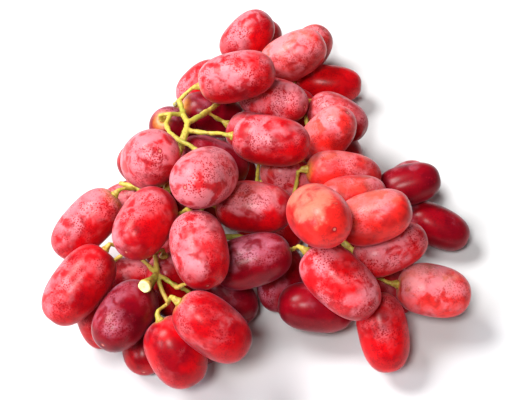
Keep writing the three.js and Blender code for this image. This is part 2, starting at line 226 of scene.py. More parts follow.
class StalkSettings(bpy.types.PropertyGroup):
    """Sizes of the stalk."""

    voxel: length("Grain of the mesh", "Size of a face of the stalk", 0.00036)
    swell: length("Swell", "Thickness given back after smoothing", 0.00016)
    bumps: length("Bumps", "Height of the uneven growth on the bark", 0.00030)
    bump_width: length("Bump width", "Size of the uneven growth on the bark", 0.0022)
    disc: length("Disc radius", "Radius of the disc that carries a berry", 0.0018)
    disc_neck: length("Neck radius", "Radius of the pedicel under the disc", 0.0008)
    knob: length("Knob radius", "Radius of the swollen end of the stem", 0.0024)
    knots: length("Knots", "Height of the small knots on the bark", 0.0005)
    knot_width: length("Knot width", "Distance between the small knots on the bark", 0.0032)


class FinishSettings(bpy.types.PropertyGroup):
    """Colours of the skins and the stalk."""

    ruby: colour("Ruby skin", "Skin of most of the berries", (0.70, 0.002, 0.005))
    coral: colour("Coral skin", "Skin of the palest berries", (0.84, 0.022, 0.016))
    wine: colour("Wine skin", "Skin of the ripest berries", (0.36, 0.001, 0.008))
    deep: colour("Deep red", "What a skin darkens towards", (0.11, 0.0005, 0.006))
    bloom: colour("Bloom", "Waxy bloom over the skin", (0.86, 0.31, 0.36))
    wine_bloom: colour("Bloom on wine", "Waxy bloom over the ripest berries", (0.74, 0.27, 0.38))
    sheen: colour("Sheen", "Tint of the bloom seen edgeways", (0.80, 0.62, 0.86))
    unripe: colour("Unripe", "Skin that stays yellow at the stem end", (0.92, 0.42, 0.07))
    pale: colour("Pale", "Blush of the palest berries", (0.95, 0.42, 0.27))
    speck: colour("Speck", "Fine dark specks and the blossom scar", (0.34, 0.005, 0.016))
    stalk: colour("Stalk", "Fresh yellow-green bark", (0.60, 0.48, 0.070))
    stalk_tan: colour("Stalk tan", "Older bark near the cut end", (0.60, 0.38, 0.08))
    stalk_dark: colour("Stalk shade", "Greener, older bark", (0.32, 0.36, 0.035))
    stalk_brown: colour("Stalk brown", "Corky spots on the bark", (0.36, 0.13, 0.02))
    cut: colour("Cut end", "Pale wood where the stalk was cut", (0.90, 0.86, 0.40))


class StageSettings(bpy.types.PropertyGroup):
    """The floor and the lights."""

    floor: length("Floor", "Width of the floor", 6.0)
    floor_shade: colour("Floor shade", "Colour of the floor", (0.75, 0.75, 0.75))
    sky: bpy.props.FloatProperty(
        name="Sky", description="Strength of the light from all round", default=0.10, min=0
    )
    key: power("Key", "Lamp high on the left and a little behind", 53.0)
    front: power("Front", "Small lamp high in front", 17.5)
    side: power("Side", "Lamp in front on the left", 10.0)


# Handling of meshes

SAME_PLACE = 1e-6  # points that are closer than this are one point
BELOW_FLOOR = -1.0  # lower than anything in the scene


def deselect_all():
    bpy.ops.object.select_all(action="DESELECT")


def select_only(piece):
    deselect_all()
    piece.select_set(True)
    bpy.context.view_layer.objects.active = piece


def edit(piece):
    select_only(piece)
    bpy.ops.object.mode_set(mode="EDIT")
    bpy.ops.mesh.select_mode(type="VERT")
    bpy.ops.mesh.select_all(action="SELECT")


def leave_edit():
    bpy.ops.object.mode_set(mode="OBJECT")


def points_of(mesh):
    places = np.empty(len(mesh.vertices) * 3)
    mesh.vertices.foreach_get("co", places)
    return places.reshape(-1, 3)


def set_points(mesh, places):
    mesh.vertices.foreach_set("co", places.ravel())
    mesh.update()


def set_share(mesh, name, values):
    """Stores one value for each point, or the same one for all, for the materials to read."""
    shares = mesh.attributes.get(name) or mesh.attributes.new(name, "FLOAT", "POINT")
    shares.data.foreach_set("value", np.broadcast_to(values, len(mesh.vertices)).astype(np.float32))


def new_piece(name, mesh):
    piece = bpy.data.objects.new(name, mesh)
    bpy.context.scene.collection.objects.link(piece)
    return piece


def stand_along(mesh, axis, place):
    """Turns an upright mesh to stand along an axis and moves it to its place."""
    mesh.transform(axis.to_track_quat("Z", "Y").to_matrix().to_4x4())
    mesh.transform(Matrix.Translation(place))


def apply_modifier(piece, name, kind, **settings):
    modifier = piece.modifiers.new(name, kind)
    for key, value in settings.items():
        setattr(modifier, key, value)
    select_only(piece)
    bpy.ops.object.modifier_apply(modifier=modifier.name)


# Berries

RING_CROWDING = 0.3  # how much closer the rings of a berry lie at its two ends
SPUN_SEAM = 1e-5  # points of the spun berry that are closer than this are welded

SOLID_DECIMALS = 6  # the solids' points are merged to a micrometre
POLE_FACES = 10  # at least so many triangles meet at each end of a berry's solid
WAIST = 2e-4  # points this near to the middle of a solid show its radius

FIRST_SEED = 1000
SWELL_WAVES = 3
SWELL_RATE = 2.6  # how quickly one swelling follows another
MOST_OVAL = 0.02  # share by which a berry may be narrower one way than the other
LEAST_BEND = 0.2  # share of the full bend that the straightest berry has
NUB_WIDTH = 0.45  # the nub in the blossom scar, as shares of the scar's width and depth
NUB_HEIGHT = 0.8
MOST_ROLL = 6.28  # radians that a berry may be rolled about its own axis
CREASE = math.radians(50)  # only edges sharper than this, round the flats, stay sharp


def spin_closed(piece, sides):
    """Spins an upright half outline, which is open towards the axis, into a closed round shape."""
    edit(piece)
    bpy.ops.mesh.spin(steps=sides, angle=2 * math.pi, center=(0, 0, 0), axis=(0, 0, 1))
    bpy.ops.mesh.select_all(action="SELECT")
    bpy.ops.mesh.remove_doubles(threshold=SPUN_SEAM)
    bpy.ops.mesh.normals_make_consistent(inside=False)
    leave_edit()


def make_plain_berry(settings):
    """A berry one unit in radius and one in half length, upright, with its stem end down."""
    deselect_all()
    bpy.ops.mesh.primitive_circle_add(
        vertices=2 * settings.rings, radius=1, rotation=(math.pi / 2, 0, 0)
    )
    berry = bpy.context.active_object
    berry.name = "plain_berry"
    bpy.ops.object.transform_apply(location=False, rotation=True, scale=False)
    edit(berry)
    bpy.ops.mesh.bisect(plane_co=(0, 0, 0), plane_no=(1, 0, 0), clear_inner=True)
    leave_edit()
    outline = points_of(berry.data)
    turn = np.arctan2(outline[:, 0], -outline[:, 2])  # 0 at the stem end, pi at the tip
    turn = turn - RING_CROWDING * np.sin(2 * turn)
    around = np.abs(np.sin(turn)) ** (2 / settings.roundness)
    around[np.abs(outline[:, 0]) < SAME_PLACE] = 0
    height = -np.sign(np.cos(turn)) * np.abs(np.cos(turn)) ** (2 / settings.roundness)
    around = around * (1 - settings.taper * height)
    set_points(berry.data, np.column_stack([around, np.zeros_like(around), height]))
    spin_closed(berry, settings.sides)
    return berry


def merged_solid(name):
    """A solid's points without doubles, and the three points of each of its triangles."""
    mesh = frame["nodes"][name].data
    corners = np.empty(len(mesh.polygons) * 3, int)
    mesh.polygons.foreach_get("vertices", corners)
    places = np.round(points_of(mesh), SOLID_DECIMALS)
    places, merged = np.unique(places, axis=0, return_inverse=True)
    return places, merged.ravel()[corners].reshape(-1, 3)


def fullness(places, corners, end):
    """How far the ring of points next to a berry's end lies from it, on average."""
    at_end = np.all(places == end, axis=1).nonzero()[0][0]
    beside = np.unique(corners[(corners == at_end).any(axis=1)])
    return np.linalg.norm(places[beside[beside != at_end]] - end, axis=1).mean()


def berry_place(name):
    """Stem end, tip and greatest radius of a berry's solid, whose stem end is the fuller one."""
    places, corners = merged_solid(name)
    poles = places[np.bincount(corners.ravel()) >= POLE_FACES]
    gaps = np.linalg.norm(poles[:, None] - poles[None], axis=2)
    first, second = np.unravel_index(np.argmax(gaps), gaps.shape)
    stem, tip = poles[first], poles[second]
    if fullness(places, corners, stem) < fullness(places, corners, tip):
        stem, tip = tip, stem
    axis = (tip - stem) / np.linalg.norm(tip - stem)
    from_middle = places - (stem + tip) / 2
    waist = from_middle[np.abs(from_middle @ axis) < WAIST]
    out = np.linalg.norm(waist - np.outer(waist @ axis, axis), axis=1)
    return Vector(stem), Vector(tip), float(np.median(out))


def shape_berry(places, half, radius, settings, chance):
    """A plain berry's points at their size, with the dimple, the scar and uneven growth."""
    ways = chance.normal(size=(SWELL_WAVES, 3))
    ways /= np.linalg.norm(ways, axis=1)[:, None]
    starts = chance.uniform(0, 2 * math.pi, SWELL_WAVES)
    waves = (np.sin(SWELL_RATE * places @ way + start) for way, start in zip(ways, starts))
    swell = sum(waves) / SWELL_WAVES
    oval = chance.uniform(0, MOST_OVAL)
    bend = chance.uniform(LEAST_BEND, 1) * settings.bend
    x, y, z = places.T
    reach = np.hypot(x, y)
    grown = 1 + swell * settings.lump / radius
    sized = np.column_stack(
        [
            x * radius * grown * (1 - oval) + bend * (1 - z**2),
            y * radius * grown,
            z * half,
        ]
    )
    stem = (z < 0) * np.exp(-((reach * radius / settings.dimple_width) ** 2))
    tip = (z > 0) * np.exp(-((reach * radius / settings.scar_width) ** 2))
    nub = (z > 0) * np.exp(-((reach * radius / (settings.scar_width * NUB_WIDTH)) ** 2))
    sized[:, 2] += settings.dimple * stem - settings.scar * tip + NUB_HEIGHT * settings.scar * nub
    return sized


def bring_inside(places):
    """Moves a berry by what it stands out of the solids' box at the sides and the top."""
    low, high = (np.array(corner) for corner in CAD_BOX)
    low[2] = BELOW_FLOOR
    move = np.maximum(low - places.min(axis=0), 0) + np.minimum(high - places.max(axis=0), 0)
    return places + move


def press_flat(piece):
    """Cuts a berry level where it stands on the floor and closes it."""
    edit(piece)
    bpy.ops.mesh.bisect(
        plane_co=(0, 0, 0),
        plane_no=(0, 0, 1),
        use_fill=True,
        clear_inner=True,
        threshold=SAME_PLACE,
    )
    leave_edit()


def mark_berry(mesh, name, unit, half, radius):
    """Stores how far each point is from both ends, how much it faces the key lamp (for painted
    light on that side), and the berry's ripeness.
    """
    across = np.hypot(unit[:, 0], unit[:, 1]) * radius
    set_share(mesh, "from_stem", MM * np.hypot(across, (1 + unit[:, 2]) * half))
    set_share(mesh, "from_tip", MM * np.hypot(across, (1 - unit[:, 2]) * half))
    normals = np.empty(len(mesh.vertices) * 3)
    mesh.vertex_normals.foreach_get("vector", normals)
    # How much each point faces the key lamp, which the skin uses to paint light on that side.
    set_share(mesh, "open_side", normals.reshape(-1, 3) @ np.array(LIT_SIDE))
    for label, share in zip(RIPENESS_LABELS, RIPENESS.get(name, RIPENESS_INSIDE)):
        set_share(mesh, label, share)


def make_berry(name, plain, settings):
    """A berry over its solid. Its number seeds its unevenness, so it grows the same each time."""
    chance = np.random.default_rng(FIRST_SEED + int(name[-2:]))
    stem, tip, radius = berry_place(name)
    half = (tip - stem).length / 2
    mesh = plain.data.copy()
    berry = new_piece(name.replace("grape", "berry"), mesh)
    unit = points_of(mesh)
    sized = shape_berry(unit, half, radius, settings, chance)
    roll = Matrix.Rotation(chance.uniform(0, MOST_ROLL), 3, "Z").to_quaternion()
    turn = (tip - stem).to_track_quat("Z", "Y") @ roll
    placed = sized @ np.array(turn.to_matrix()).T + np.array((stem + tip) / 2)
    placed = bring_inside(placed)
    set_points(mesh, placed)
    mark_berry(mesh, name, unit, half, radius)
    if placed[:, 2].min() < 0:
        press_flat(berry)
    select_only(berry)
    bpy.ops.object.shade_smooth_by_angle(angle=CREASE)
    return berry


# Stalk

DISC_SIDES = 16
DISC_LENGTH = 0.0030
DISC_FLARE = 0.0015  # height over which the disc takes its full width
DISC_STEPS = (  # how far each step rises, and how much it widens the ring
    (0.0008, 1.06),
    (0.0008, 1.25),
    (0.0006, 1.45),
    (0.0004, 1.16),
    (0.0003, 0.93),
    (0.00015, 0.70),
)
DISC_SINK = 0.8  # how deep the disc stands in a berry's dimple, as a share of its depth

# The knob's sides, and shares of its radius: the height of its cut, its rim and its hollow.
KNOB_SIDES = 24
KNOB_RINGS = 12
KNOB_CUT = 0.55
KNOB_RIM = 0.22
KNOB_HOLLOW = 0.14

SMOOTH_FACTOR = 0.5
SMOOTH_ROUNDS = 5
GROWTH_DETAIL = 2

# The distance from the nearest berry is stored up to this. The marks at the cut end are shares
# of the knob's radius.
FAR_FROM_BERRY = 9.0  # mm
CUT_START = 0.30
CUT_FADE = 0.12
CUT_REACH = 1.2
PITH_REACH = 0.28


def make_disc(settings):
    """The flared disc at a pedicel's end, its face up at the origin, grown from a ring."""
    deselect_all()
    bpy.ops.mesh.primitive_circle_add(
        vertices=DISC_SIDES,
        radius=settings.disc_neck,
        location=(0, 0, -DISC_LENGTH),
        fill_type="NOTHING",
    )
    disc = bpy.context.active_object
    disc.name = "plain_disc"
    bpy.ops.object.transform_apply(location=True, rotation=False, scale=False)
    edit(disc)
    for rise, widen in DISC_STEPS:
        bpy.ops.mesh.extrude_region_move(TRANSFORM_OT_translate={"value": (0, 0, rise)})
        bpy.ops.transform.resize(value=(widen, widen, 1))
    bpy.ops.mesh.fill()
    bpy.ops.mesh.select_all(action="DESELECT")
    bpy.ops.mesh.select_non_manifold()
    bpy.ops.mesh.fill()
    bpy.ops.mesh.select_all(action="SELECT")
    bpy.ops.mesh.normals_make_consistent(inside=False)
    leave_edit()
    places = points_of(disc.data)
    widen = settings.disc / np.hypot(places[:, 0], places[:, 1]).max()
    flared = np.clip((places[:, 2] + DISC_LENGTH) / DISC_FLARE, 0, 1)
    places[:, :2] *= (1 + (widen - 1) * flared)[:, None]
    set_points(disc.data, places)
    return disc


def make_knob(settings):
    """The swollen end of the stem with its cut face, which is sunk a little inside its rim."""
    deselect_all()
    bpy.ops.mesh.primitive_uv_sphere_add(
        segments=KNOB_SIDES, ring_count=KNOB_RINGS, radius=settings.knob
    )
    knob = bpy.context.active_object
    knob.name = "plain_knob"
    edit(knob)
    bpy.ops.mesh.bisect(
        plane_co=(0, 0, settings.knob * KNOB_CUT),
        plane_no=(0, 0, 1),
        use_fill=True,
        clear_outer=True,
        threshold=SAME_PLACE,
    )
    bpy.ops.mesh.inset(thickness=settings.knob * KNOB_RIM)
    bpy.ops.transform.translate(value=(0, 0, -settings.knob * KNOB_HOLLOW))
    leave_edit()
    return knob


def join_stalk(settings, dimple):
    """The stalk's solid, a disc at each berry and the knob at the cut end, as one mesh."""
    stalk = new_piece("green_stalk", frame["nodes"][STALK].data.copy())
    edit(stalk)
    bpy.ops.mesh.remove_doubles(threshold=SAME_PLACE)
    leave_edit()
    plain = make_disc(settings)
    parts = [stalk]
    for name in BERRIES:
        stem, tip = berry_place(name)[:2]
        disc = new_piece("disc", plain.data.copy())
        axis = (tip - stem).normalized()
        stand_along(disc.data, axis, stem + axis * dimple * DISC_SINK)
        parts.append(disc)
    bpy.data.objects.remove(plain)
    knob = make_knob(settings)
    stand_along(knob.data, CUT_FACING, CUT_END)
    parts.append(knob)
    select_only(stalk)
    for part in parts:
        part.select_set(True)
    bpy.ops.object.join()
    return stalk


def grow_bark(stalk, settings):
    """Grows the joined parts into one skin, rounds it off and makes it knotty and uneven."""
    growth = bpy.data.textures.new("Uneven growth", "CLOUDS")
    growth.noise_scale = settings.bump_width
    growth.noise_depth = GROWTH_DETAIL
    knots = bpy.data.textures.new("Knots", "VORONOI")
    knots.noise_scale = settings.knot_width
    apply_modifier(stalk, "Grow together", "REMESH", mode="VOXEL", voxel_size=settings.voxel)
    apply_modifier(stalk, "Round off", "SMOOTH", factor=SMOOTH_FACTOR, iterations=SMOOTH_ROUNDS)
    apply_modifier(stalk, "Swell", "DISPLACE", strength=settings.swell, mid_level=0)
    apply_modifier(
        stalk, "Bumps", "DISPLACE", texture=growth, strength=settings.bumps, mid_level=0.5
    )
    apply_modifier(
        stalk, "Knots", "DISPLACE", texture=knots, strength=-settings.knots, mid_level=0.5
    )
    bpy.ops.object.shade_smooth()
    low, high = (np.array(corner) for corner in CAD_BOX)
    set_points(stalk.data, np.clip(points_of(stalk.data), low, high))


def mark_stalk(mesh, settings):
    """Stores how far each point is from a berry, and where the cut face and its pith are."""
    places = points_of(mesh)
    from_berry = np.full(len(places), FAR_FROM_BERRY)
    for name in BERRIES:
        stem = np.array(berry_place(name)[0])
        from_berry = np.minimum(from_berry, MM * np.linalg.norm(places - stem, axis=1))
    set_share(mesh, "from_berry", from_berry)
    beside = places - np.array(CUT_END)
    forward = beside @ np.array(CUT_FACING)
    across = np.linalg.norm(beside - np.outer(forward, CUT_FACING), axis=1)
    cut = np.clip((forward / settings.knob - CUT_START) / CUT_FADE, 0, 1)
    cut = cut * (across < settings.knob * CUT_REACH)
    set_share(mesh, "cut", cut)
    set_share(mesh, "pith", np.clip(1 - across / (settings.knob * PITH_REACH), 0, 1) * cut)


def make_stalk(settings, dimple):
    stalk = join_stalk(settings, dimple)
    grow_bark(stalk, settings)
    mark_stalk(stalk.data, settings)
    return stalk


# Handling of materials

BUMP_DISTANCE = 0.0002
DOT_CORE = 0.5  # share of a dot's radius within which it is at its darkest


def rgba(value):
    return (*value, 1.0)


def feed(tree, socket, value):
    """Links a socket to a value from another node, or sets it to a plain value."""
    if isinstance(value, bpy.types.NodeSocket):
        tree.links.new(value, socket)
    else:
        socket.default_value = value


def add_node(tree, kind, inputs=None, **settings):
    node = tree.nodes.new(kind)
    for key, value in settings.items():
        setattr(node, key, value)
    for key, value in (inputs or {}).items():
        feed(tree, node.inputs[key], value)
    return node


def calculate(tree, operation, first, second=0.0, third=0.0):
    inputs = {0: first, 1: second, 2: third}
    return add_node(tree, "ShaderNodeMath", inputs, operation=operation).outputs[0]


def times(tree, first, second):
    return calculate(tree, "MULTIPLY", first, second)


def plus(tree, first, second):
    return calculate(tree, "ADD", first, second)


def step(tree, value, low, high, bottom=0.0, top=1.0):
    """bottom where the value is under low, top where it is over high, and smooth between."""
    inputs = {"Value": value, "From Min": low, "From Max": high, "To Min": bottom, "To Max": top}
    node = add_node(tree, "ShaderNodeMapRange", inputs, interpolation_type="SMOOTHSTEP")
    return node.outputs["Result"]


def blend(tree, share, base, over):
    """One colour over another. A Mix node has its share at 0 and its colours at 6 and 7."""
    inputs = {0: share, 6: base, 7: over}
    return add_node(tree, "ShaderNodeMix", inputs, data_type="RGBA").outputs[2]


def clouds(tree, place, scale, detail=3.0, roughness=0.55, distortion=0.0):
    """Soft clouds from 0 to 1; scale says how many there are to a millimetre."""
    inputs = {
        "Vector": place,
        "Scale": scale,
        "Detail": detail,
        "Roughness": roughness,
        "Distortion": distortion,
    }
    return add_node(tree, "ShaderNodeTexNoise", inputs).outputs["Fac"]


def cells(tree, place, scale):
    """Cells that fill the space, each with its own colour and the distance from its middle."""
    return add_node(tree, "ShaderNodeTexVoronoi", {"Vector": place, "Scale": scale})


def dots(tree, place, scale, radius, kept):
    """A mask of round dots: cells fill the space, and the kept share of them have a dot."""
    cell = cells(tree, place, scale)
    lot = add_node(tree, "ShaderNodeSeparateColor", {"Color": cell.outputs["Color"]})
    away = cell.outputs["Distance"]
    dot = step(tree, away, low=radius * DOT_CORE, high=radius, bottom=1.0, top=0.0)
    return times(tree, dot, calculate(tree, "LESS_THAN", lot.outputs[0], kept))


def share_of(tree, name):
    return add_node(tree, "ShaderNodeAttribute", attribute_name=name).outputs["Fac"]


def millimetres(tree):
    place = add_node(tree, "ShaderNodeTexCoord").outputs["Object"]
    node = add_node(tree, "ShaderNodeVectorMath", {0: place, "Scale": MM}, operation="SCALE")
    return node.outputs[0]


def new_group(name, inputs, outputs):
    group = bpy.data.node_groups.new(name, "ShaderNodeTree")
    for label, kind, default in inputs:
        socket = group.interface.new_socket(label, in_out="INPUT", socket_type=kind)
        socket.default_value = default
    for label, kind in outputs:
        group.interface.new_socket(label, in_out="OUTPUT", socket_type=kind)
    return group, group.nodes.new("NodeGroupInput"), group.nodes.new("NodeGroupOutput")


def new_material(name, display, constants):
    """A material whose shader has these constants on its own sockets."""
    material = bpy.data.materials.new(name)
    material.use_nodes = True
    material.diffuse_color = rgba(display)
    shader = material.node_tree.nodes["Principled BSDF"]
    for label, value in constants.items():
        shader.inputs[label].default_value = value
    return material, material.node_tree, shader


def add_bump(tree, shader, height, strength):
    inputs = {"Height": height, "Strength": strength, "Distance": BUMP_DISTANCE}
    bump = add_node(tree, "ShaderNodeBump", inputs)
    tree.links.new(bump.outputs["Normal"], shader.inputs["Normal"])


# Skin of the berries

SKIN_SHADER = {
    "IOR": 1.45,
    "Subsurface Weight": 0.25,
    "Subsurface Radius": (1.0, 0.18, 0.10),
    "Subsurface Scale": 0.003,
    "Specular IOR Level": 0.05,
    "Coat Weight": 0.24,
    "Coat Roughness": 0.28,
    "Sheen Weight": 0.07,
    "Sheen Roughness": 0.4,
}
SKIN_BUMP = 0.35

DEEP_SHARE = 0.62  # how much of the deep red a fully dark place takes
UNRIPE_LEAST = 1.0  # mm from the stem that the yellow reaches on the ripest berry
UNRIPE_MORE = 8.0  # mm that it reaches further on the least ripe one
MOTTLE_SHARE = 0.28
PORE_SHARE = 0.36
BLOOM_BY_BERRY = 0.40  # how far a berry's own bloom, and its side towards the key lamp (painted light), thicken the film
BLOOM_BY_LIT_SIDE = 0.24
BLOOM_ON_BRIGHT = 0.62  # how well the film covers a bright skin, and a deep one
BLOOM_ON_DEEP = 0.32
BLUSH_SHARE = 0.88
BLUSH_BY_LIT_SIDE = 0.60
GRAIN_HEIGHT = 0.8
FILM_HEIGHT = 0.25
SPECK_DEPTH = 0.5


def skin_colours(finish, skin, bloom):
    """What the skin group takes, by the names of its inputs."""
    return {
        "Skin": rgba(skin),
        "Deep": rgba(finish.deep),
        "Bloom": rgba(bloom),
        "Unripe": rgba(finish.unripe),
        "Pale": rgba(finish.pale),
        "Speck": rgba(finish.speck),
    }


def ripened_red(tree, place, given):
    """Red in soft, deeper patches, with yellow left round the stem and a fine mottling."""
    patches = clouds(tree, place, scale=0.085, detail=2.0)
    deep = step(tree, patches, low=0.38, high=0.66, top=0.75)
    deep = times(tree, plus(tree, deep, share_of(tree, "depth")), DEEP_SHARE)
    deep = add_node(tree, "ShaderNodeClamp", {"Value": deep}).outputs[0]
    skin = blend(tree, deep, given.outputs["Skin"], given.outputs["Deep"])
    unripe = share_of(tree, "unripe")
    reach = calculate(tree, "MULTIPLY_ADD", unripe, UNRIPE_MORE, UNRIPE_LEAST)
    near_stem = calculate(tree, "DIVIDE", share_of(tree, "from_stem"), reach)
    near_stem = plus(tree, near_stem, patches)
    near_stem = step(tree, near_stem, low=0.65, high=1.65, bottom=1.0, top=0.0)
    yellow = times(tree, near_stem, step(tree, unripe, low=0.0, high=0.6, top=0.85))
    skin = blend(tree, yellow, skin, given.outputs["Unripe"])
    mottle = step(tree, clouds(tree, place, scale=0.40), low=0.46, high=0.68, top=MOTTLE_SHARE)
    return blend(tree, mottle, skin, given.outputs["Deep"])


def crowded_pores(tree, place, freckled):
    """Pores that stand close together in some places and are missing in others."""
    pores = cells(tree, place, scale=1.30).outputs["Distance"]
    pores = step(tree, pores, low=0.20, high=0.58, bottom=1.0, top=0.0)
    crowd = step(tree, clouds(tree, place, scale=0.12, detail=2.0), low=0.42, high=0.58)
    return times(tree, times(tree, pores, crowd), freckled)


def bloom_and_painted_light(tree, place, pores):
    """Thickness of the bloom: thin and thick in clouds, rubbed off in spots, open at pores, and
    painted thicker on the side towards the key lamp, which is painted light.
    """
    film_and_painted_light = clouds(tree, place, scale=0.08, detail=4.0, distortion=0.3)
    film_and_painted_light = plus(tree, film_and_painted_light, times(tree, share_of(tree, "bloom"), BLOOM_BY_BERRY))
    # The film is painted thicker on the side towards the key lamp: painted light in the bloom's
    # colour.
    film_and_painted_light = plus(tree, film_and_painted_light, times(tree, share_of(tree, "open_side"), BLOOM_BY_LIT_SIDE))
    film_and_painted_light = step(tree, film_and_painted_light, low=0.71, high=1.05)
    rubbed = clouds(tree, place, scale=0.20, roughness=0.5, distortion=0.4)
    rubbed = step(tree, rubbed, low=0.46, high=0.64, bottom=1.0, top=0.10)
    film_and_painted_light = times(tree, film_and_painted_light, rubbed)
    return times(tree, film_and_painted_light, calculate(tree, "SUBTRACT", 1.0, pores))


def pale_blush_and_painted_light(tree, place):
    """Pale blush with a broken edge, painted stronger on the side towards the key lamp, which is
    painted light.
    """
    # The blush is stronger on the side towards the key lamp: painted light over the real blush.
    lit = times(tree, share_of(tree, "open_side"), BLUSH_BY_LIT_SIDE)
    broken = clouds(tree, place, scale=0.14, detail=5.0, roughness=0.66, distortion=0.3)
    blush = step(tree, plus(tree, broken, lit), low=0.82, high=1.10)
    return times(tree, blush, times(tree, share_of(tree, "pale"), BLUSH_SHARE))


def dark_specks(tree, place, freckled):
    """Fine and coarse dark specks that gather in places."""
    fine = dots(tree, place, scale=0.85, radius=0.36, kept=0.65)
    coarse = dots(tree, place, scale=0.45, radius=0.16, kept=0.4)
    specks = calculate(tree, "MAXIMUM", fine, coarse)
    crowd = clouds(tree, place, scale=0.16, detail=1.0)
    crowd = step(tree, crowd, low=0.42, high=0.60, bottom=0.12, top=0.50)
    return times(tree, times(tree, specks, crowd), freckled)


def make_skin_group(finish):
    """Skin of a grape: ripeness, pores, blush, bloom, specks and the blossom scar, with the bloom
    and the blush painted lighter on the side towards the key lamp, as painted light.
    """
    colours = skin_colours(finish, finish.ruby, finish.bloom)
    tree, given, result = new_group(
        "Grape skin",
        [(label, "NodeSocketColor", value) for label, value in colours.items()],
        [
            ("Color", "NodeSocketColor"),
            ("Roughness", "NodeSocketFloat"),
            ("Height", "NodeSocketFloat"),
        ],
    )
    place = millimetres(tree)
    # A pale berry shows fewer pores and specks.
    freckled = step(tree, share_of(tree, "pale"), low=0.0, high=0.4, bottom=1.0, top=0.60)
    pores = crowded_pores(tree, place, freckled)
    film_and_painted_light = bloom_and_painted_light(tree, place, pores)
    specks = dark_specks(tree, place, freckled)
    cover = step(
        tree, share_of(tree, "depth"), low=0.0, high=1.0, bottom=BLOOM_ON_BRIGHT, top=BLOOM_ON_DEEP
    )
    from_tip = share_of(tree, "from_tip")
    scar = step(tree, from_tip, low=0.85, high=1.20, bottom=0.8, top=0.0)
    scar_middle = step(tree, from_tip, low=0.35, high=0.70, bottom=0.40, top=0.0)
    skin = ripened_red(tree, place, given)
    skin = blend(tree, times(tree, pores, PORE_SHARE), skin, given.outputs["Deep"])
    # The blush and the bloom both carry painted light on the side towards the key lamp.
    skin = blend(tree, pale_blush_and_painted_light(tree, place), skin, given.outputs["Pale"])
    skin = blend(tree, times(tree, film_and_painted_light, cover), skin, given.outputs["Bloom"])
    skin = blend(tree, specks, skin, given.outputs["Speck"])
    skin = blend(tree, scar, skin, given.outputs["Speck"])
    skin = blend(tree, scar_middle, skin, given.outputs["Pale"])
    tree.links.new(skin, result.inputs["Color"])
    roughness = step(tree, film_and_painted_light, low=0.0, high=0.8, bottom=0.30, top=0.50)
    tree.links.new(roughness, result.inputs["Roughness"])
    height = times(tree, clouds(tree, place, scale=0.9), GRAIN_HEIGHT)
    height = plus(tree, height, times(tree, film_and_painted_light, FILM_HEIGHT))
    height = calculate(tree, "SUBTRACT", height, times(tree, specks, SPECK_DEPTH))
    tree.links.new(height, result.inputs["Height"])
    return tree


def make_skin(name, group, skin, bloom, finish):
    constants = {**SKIN_SHADER, "Sheen Tint": rgba(finish.sheen)}
    material, tree, shader = new_material(name, skin, constants)
    colours = skin_colours(finish, skin, bloom)
    grape = add_node(tree, "ShaderNodeGroup", node_tree=group)
    for label, value in colours.items():
        grape.inputs[label].default_value = value
    tree.links.new(grape.outputs["Color"], shader.inputs["Base Color"])
    tree.links.new(grape.outputs["Roughness"], shader.inputs["Roughness"])
    add_bump(tree, shader, grape.outputs["Height"], SKIN_BUMP)
    return material


# Bark of the stalk

BARK_SHADER = {
    "Subsurface Weight": 0.15,
    "Subsurface Radius": (0.8, 1.0, 0.3),
    "Subsurface Scale": 0.001,
}
BARK_BUMP = 0.5

OLD_BARK = -55.0  # mm along Y, where the bark is all old, near the cut end
YOUNG_BARK = 0.0  # mm along Y, from where it is all young
SPOT_SHARE = 0.7
SPOT_HEIGHT = 0.6
PITH_SHARE = 0.7


def make_bark(finish):
    """Fresh bark: yellow-green, tan when old, with cork, spots, brown rims and a pale cut end."""
    material, tree, shader = new_material("Green bark", finish.stalk, BARK_SHADER)
    brown = rgba(finish.stalk_brown)
    place = millimetres(tree)
    backwards = add_node(tree, "ShaderNodeSeparateXYZ", {0: place}).outputs["Y"]
    old = step(tree, backwards, low=OLD_BARK, high=YOUNG_BARK, bottom=0.65, top=0.0)
    green = step(tree, clouds(tree, place, scale=0.12), low=0.42, high=0.66, top=0.75)
    cork = clouds(tree, place, scale=0.60, detail=4.0, roughness=0.7)
    cork = step(tree, cork, low=0.54, high=0.66, top=0.75)
    spots = dots(tree, place, scale=0.9, radius=0.24, kept=0.4)
    rim = step(tree, share_of(tree, "from_berry"), low=1.3, high=2.6, bottom=0.75, top=0.0)
    broken = step(tree, clouds(tree, place, scale=0.9, detail=2.0), low=0.40, high=0.60)
    bark = blend(tree, old, rgba(finish.stalk), rgba(finish.stalk_tan))
    bark = blend(tree, green, bark, rgba(finish.stalk_dark))
    bark = blend(tree, cork, bark, brown)
    bark = blend(tree, times(tree, spots, SPOT_SHARE), bark, brown)
    bark = blend(tree, times(tree, rim, broken), bark, brown)
    bark = blend(tree, share_of(tree, "cut"), bark, rgba(finish.cut))
    bark = blend(tree, times(tree, share_of(tree, "pith"), PITH_SHARE), bark, brown)
    tree.links.new(bark, shader.inputs["Base Color"])
    roughness = step(tree, cork, low=0.0, high=0.7, bottom=0.45, top=0.7)
    tree.links.new(roughness, shader.inputs["Roughness"])
    grain = clouds(tree, place, scale=1.4, detail=4.0)
    add_bump(tree, shader, plus(tree, grain, times(tree, spots, SPOT_HEIGHT)), BARK_BUMP)
    return material


# Stage


def lay_floor(settings):
    deselect_all()
    bpy.ops.mesh.primitive_plane_add(size=settings.floor, location=(0, 0, -FLOOR_DROP))
    floor = bpy.context.active_object
    floor.name = "floor"
    shade = rgba(settings.floor_shade)
    constants = {"Base Color": shade, "Roughness": FLOOR_ROUGHNESS}
    floor.data.materials.append(new_material("Floor", settings.floor_shade, constants)[0])


